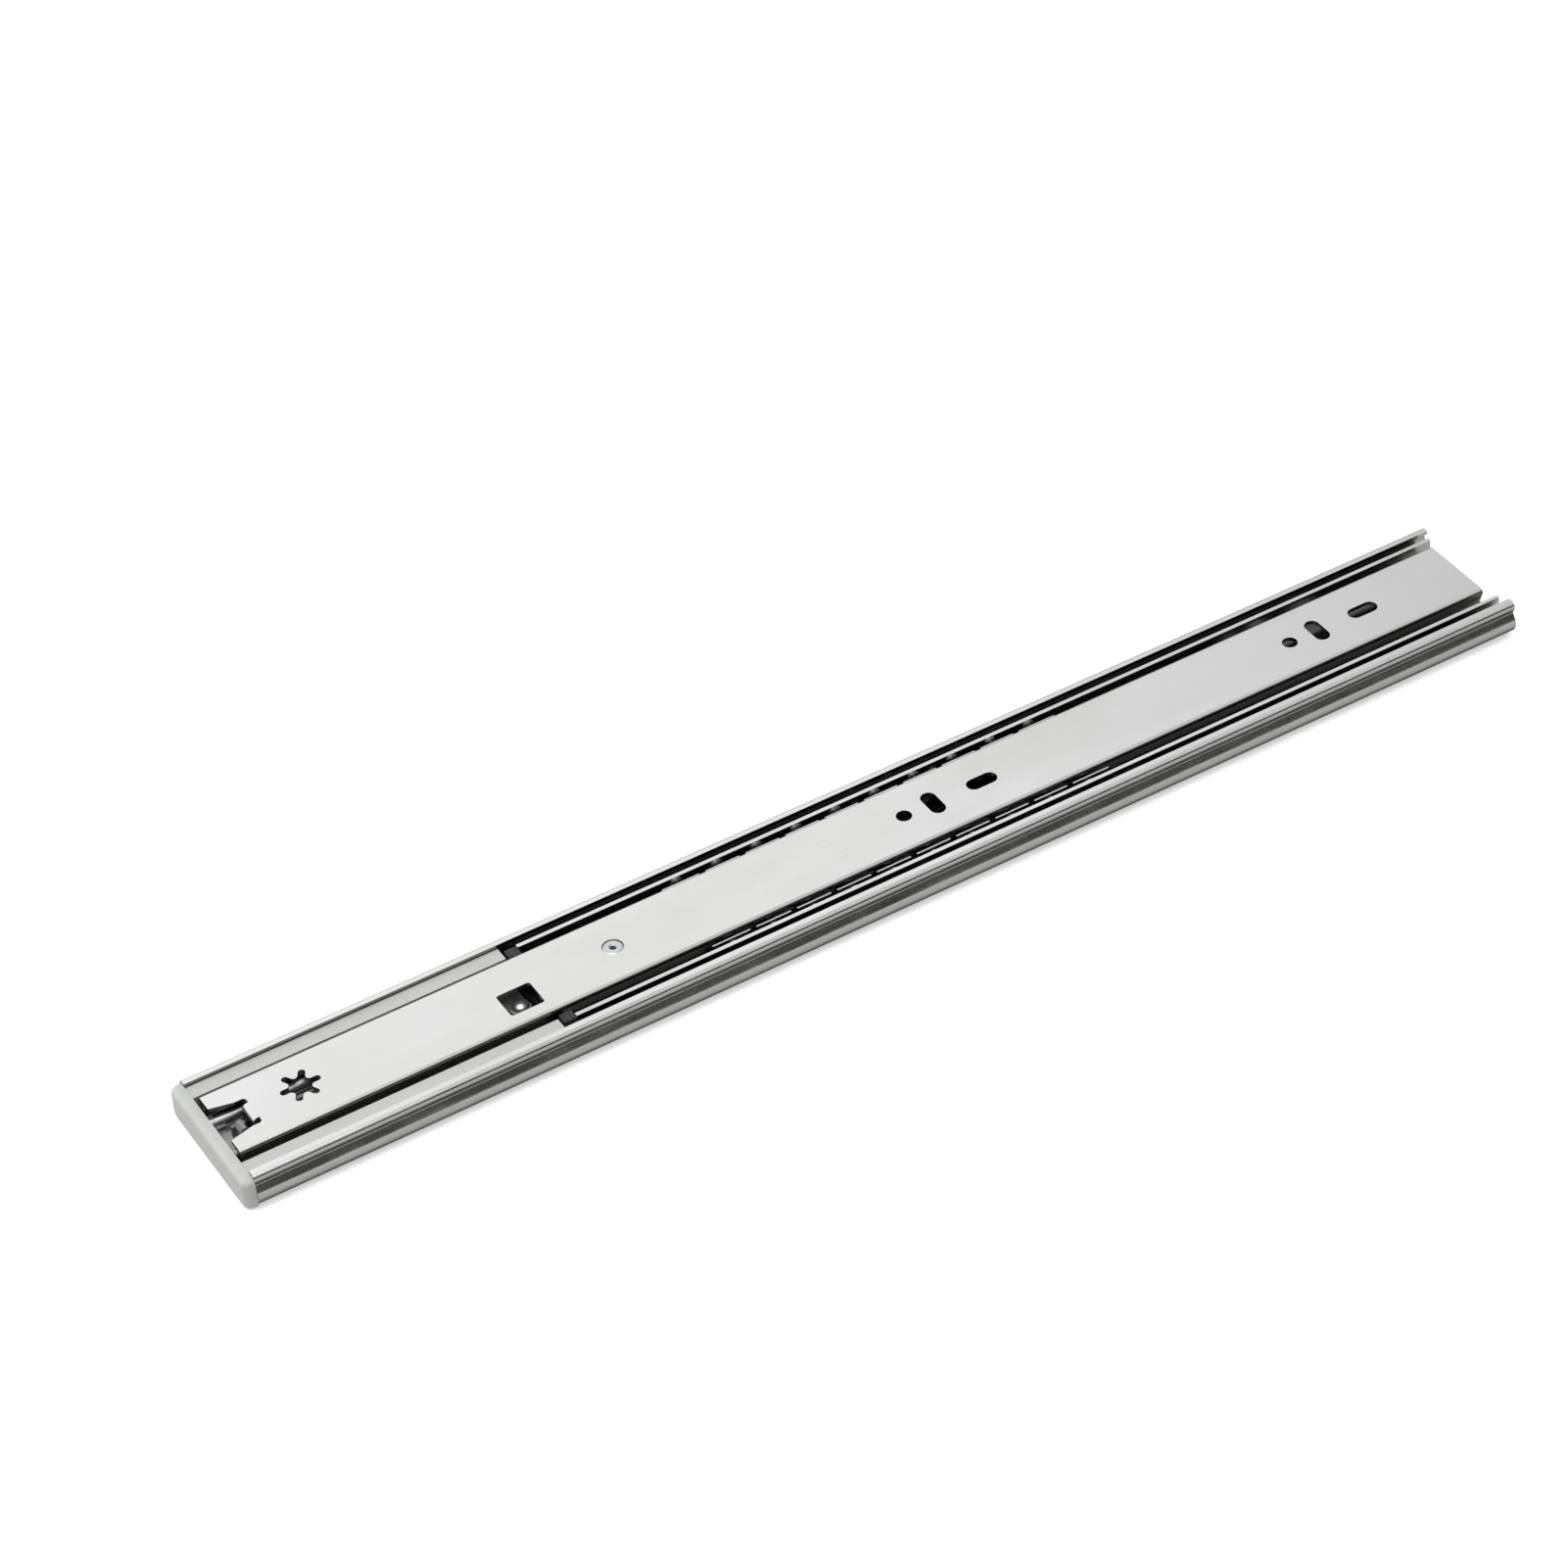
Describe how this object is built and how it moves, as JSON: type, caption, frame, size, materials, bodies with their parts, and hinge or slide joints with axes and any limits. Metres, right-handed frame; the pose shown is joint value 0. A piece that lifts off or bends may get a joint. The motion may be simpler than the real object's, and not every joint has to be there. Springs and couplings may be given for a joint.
{
  "type": "drawer slide",
  "caption": "Full-extension ball-bearing drawer slide: three nested steel channels, ball retainers, soft-close unit at the rear and a disconnect lever.",
  "frame": {"origin": "middle of the footprint, on the plane of the cabinet wall", "axes": "+X the way the drawer opens, +Y across the slide, +Z away from the cabinet wall"},
  "size_m": [0.402, 0.0454, 0.0127],
  "materials": {
    "zinc_steel": "bright zinc plate",
    "retainer_steel": "zinc plate",
    "ball_steel": "polished",
    "rivet_steel": "bright",
    "spring_steel": "bright",
    "grey_plastic": "satin",
    "carriage_plastic": "satin",
    "black_plastic": "satin",
    "damper_tube": "satin"
  },
  "bodies": {
    "outer": {"outer_member": "zinc_steel", "rear_housing": "grey_plastic", "front_housing": "grey_plastic", "front_housing_rivet": "rivet_steel", "rear_housing_rivets": "rivet_steel", "damper_cylinder": "damper_tube", "damper_end_cap": "black_plastic", "closing_spring": "spring_steel"},
    "carriage": {"catch_carriage": "carriage_plastic", "damper_piston": "black_plastic", "damper_rod": "spring_steel", "catch_pin": "rivet_steel"},
    "catch": {"tilting_catch": "carriage_plastic"},
    "outer_retainer": {"outer_ball_retainer": "retainer_steel", "outer_balls_left": "ball_steel", "outer_balls_right": "ball_steel"},
    "middle": {"middle_member": "zinc_steel", "middle_bumper": "black_plastic", "bumper_rivet": "rivet_steel"},
    "inner_retainer": {"inner_ball_retainer": "retainer_steel", "inner_balls_left": "ball_steel", "inner_balls_right": "ball_steel"},
    "drawer": {"drawer_member": "zinc_steel", "lever_rivet": "rivet_steel"},
    "lever": {"disconnect_lever": "black_plastic"}
  },
  "joints": [
    {"name": "middle_slide", "type": "slide", "parent": "outer", "child": "middle", "axis": [1, 0, 0], "range_m": [0, 0.2]},
    {"name": "drawer_slide", "type": "slide", "parent": "middle", "child": "drawer", "axis": [1, 0, 0], "range_m": [0, 0.2]},
    {"name": "outer_retainer_slide", "type": "slide", "parent": "outer", "child": "outer_retainer", "axis": [1, 0, 0], "range_m": [0, 0.1]},
    {"name": "inner_retainer_slide", "type": "slide", "parent": "middle", "child": "inner_retainer", "axis": [1, 0, 0], "range_m": [0, 0.1]},
    {"name": "carriage_slide", "type": "slide", "parent": "outer", "child": "carriage", "axis": [1, 0, 0], "range_m": [0, 0.035], "deforming": ["closing_spring"]},
    {"name": "catch_tilt", "type": "hinge", "parent": "carriage", "child": "catch", "pos_m": [-0.1747, 0, 0.0053], "axis": [0, 1, 0], "range_deg": [0, 8.2]},
    {"name": "lever_swing", "type": "hinge", "parent": "drawer", "child": "lever", "pos_m": [-0.0802, 0, 0.00995], "axis": [0, 0, 1], "range_deg": [-4.3, 0], "stiffness_Nm_per_rad": 0.05}
  ],
  "couplings": [
    {"joint": "outer_retainer_slide", "follows": "middle_slide", "ratio": 0.5},
    {"joint": "inner_retainer_slide", "follows": "drawer_slide", "ratio": 0.5},
    {"joint": "carriage_slide", "follows": "drawer_slide", "ratio": 0.175}
  ]
}
